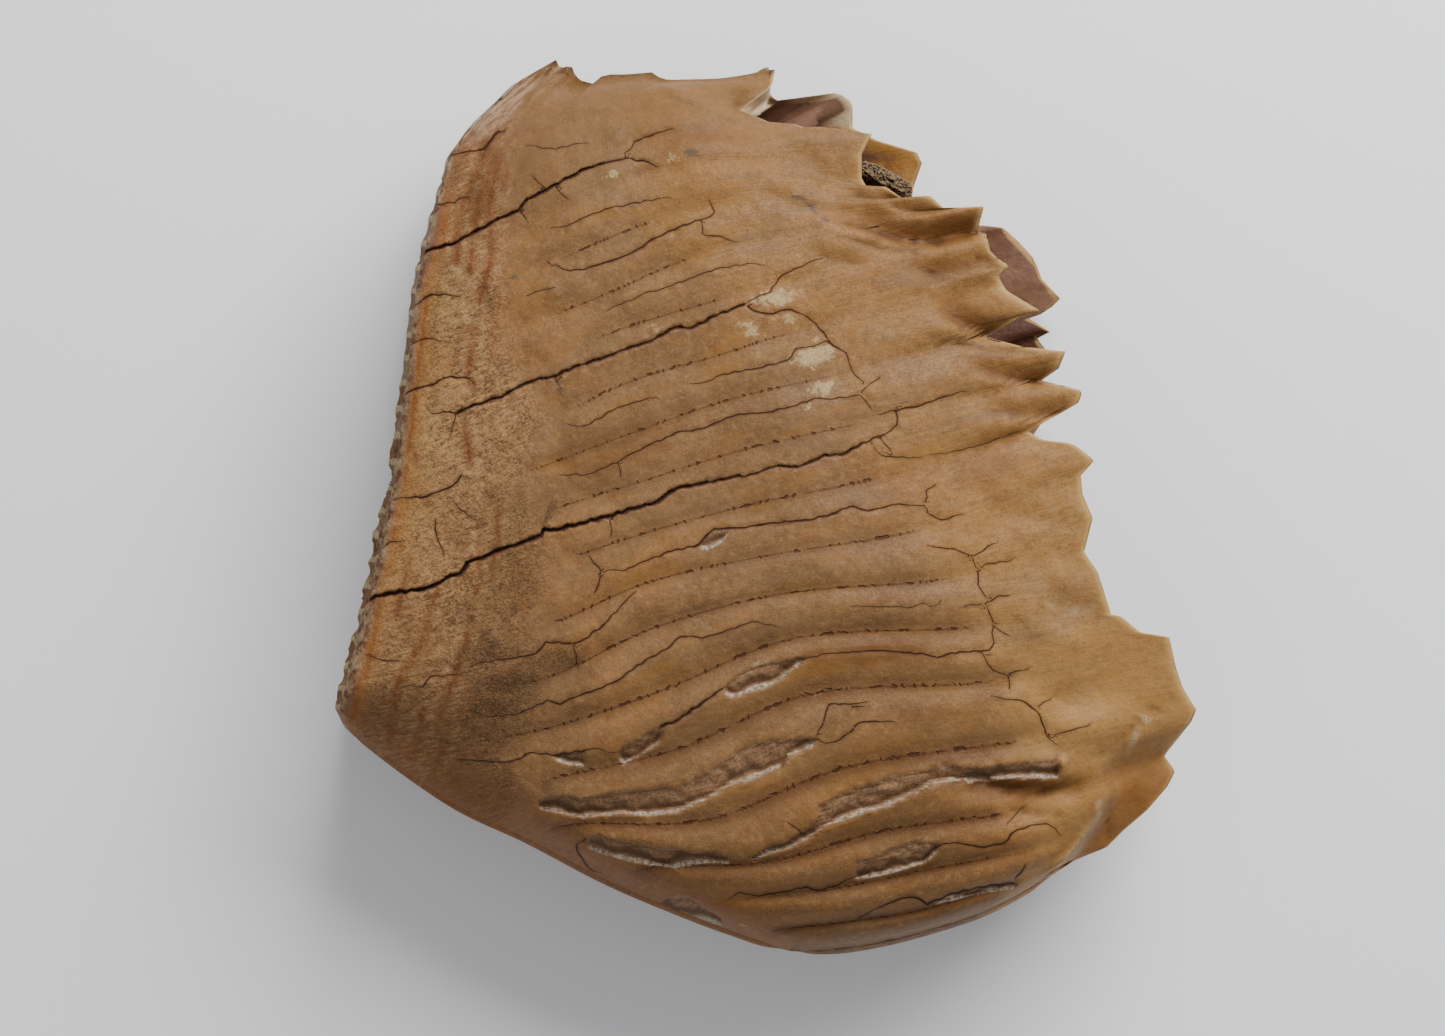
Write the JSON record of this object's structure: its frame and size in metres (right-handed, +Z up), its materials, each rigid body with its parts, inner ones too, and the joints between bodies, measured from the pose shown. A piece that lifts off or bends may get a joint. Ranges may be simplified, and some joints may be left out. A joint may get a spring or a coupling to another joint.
{
  "type": "woolly mammoth cheek tooth",
  "caption": "Whole fossil mammoth cheek tooth lying on its flank: a tall block of upright enamel plates with a worn chewing face along one edge and an open, broken root along the other.",
  "frame": {"origin": "centre of the bounding box in plan, at the level of the flat stretch of flank the tooth lies on", "axes": "+Z up, out of the flank that faces up; +X from the worn chewing face towards the open root; +Y towards the tooth's front end, across the plates"},
  "size_m": [0.2516, 0.2624, 0.0883],
  "materials": {
    "fossil_tooth": "amber to tan fossil dentine and cement with darker seams, worn to a low satin",
    "spongy_bone": "dark brown, matt, full of small pores"
  },
  "bodies": {
    "root": {"molar": "fossil_tooth", "bone_scrap": "spongy_bone"}
  },
  "joints": []
}
